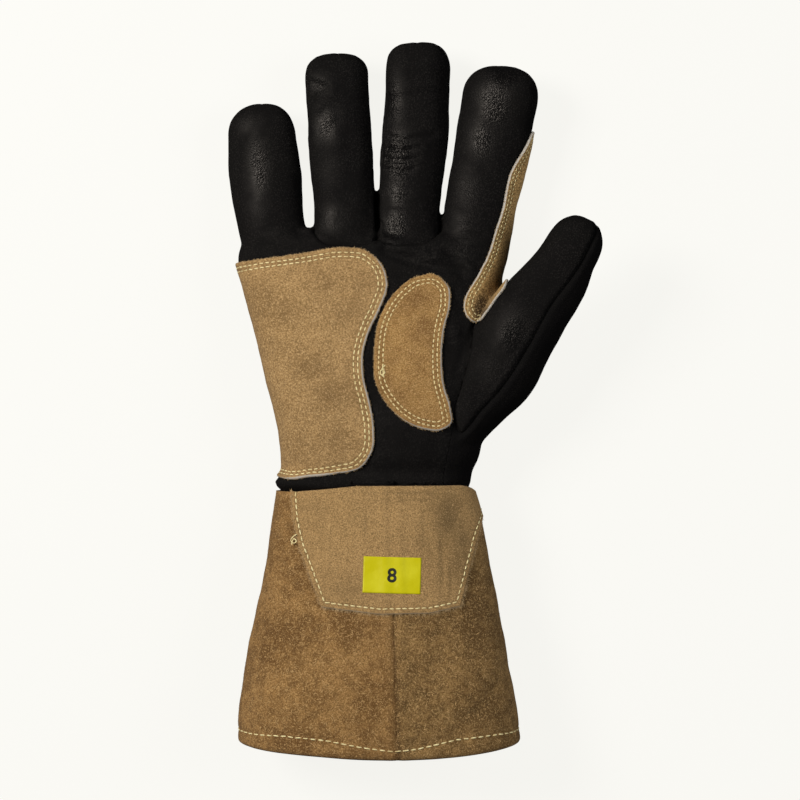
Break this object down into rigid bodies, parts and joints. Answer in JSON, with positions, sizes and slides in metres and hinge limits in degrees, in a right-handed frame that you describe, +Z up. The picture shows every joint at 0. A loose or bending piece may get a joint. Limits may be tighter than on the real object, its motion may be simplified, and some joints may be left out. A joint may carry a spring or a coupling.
{
  "type": "welding glove",
  "caption": "Right-hand MIG welding glove with a black grain leather hand, tan suede palm patches and a flared split-leather gauntlet.",
  "frame": {"origin": "middle of the surface that the glove lies on, at the height of that surface", "axes": "+X towards the thumb side, +Y from the gauntlet to the fingertips, +Z up, out of the palm"},
  "size_m": [0.1714, 0.3265, 0.057],
  "materials": {
    "black_grain": "soft pebbled goatskin grain, low sheen",
    "black_split": "matte black split leather with a short nap",
    "tan_suede": "tan suede, short brushed nap, pale cut edges",
    "gold_suede": "golden brown suede, rough nap, pale cut edges",
    "brown_split": "brown split leather, mottled rough nap",
    "dark_split": "darker brown split leather, mottled rough nap",
    "label": "satin yellow label with a plain black numeral"
  },
  "bodies": {
    "root": {"palm_panel": "black_grain", "back_panel": "black_grain", "ring_finger_front": "black_grain", "middle_finger_front": "black_grain", "fourchette_little_ring": "black_grain", "fourchette_ring_middle": "black_grain", "fourchette_middle_index": "black_grain", "thumb_front": "black_grain", "thumb_back": "black_split", "heel_patch": "tan_suede", "centre_patch": "gold_suede", "crotch_patch": "tan_suede", "cuff_left": "brown_split", "cuff_right": "dark_split", "cuff_tab": "tan_suede", "size_label": "label"}
  },
  "joints": []
}
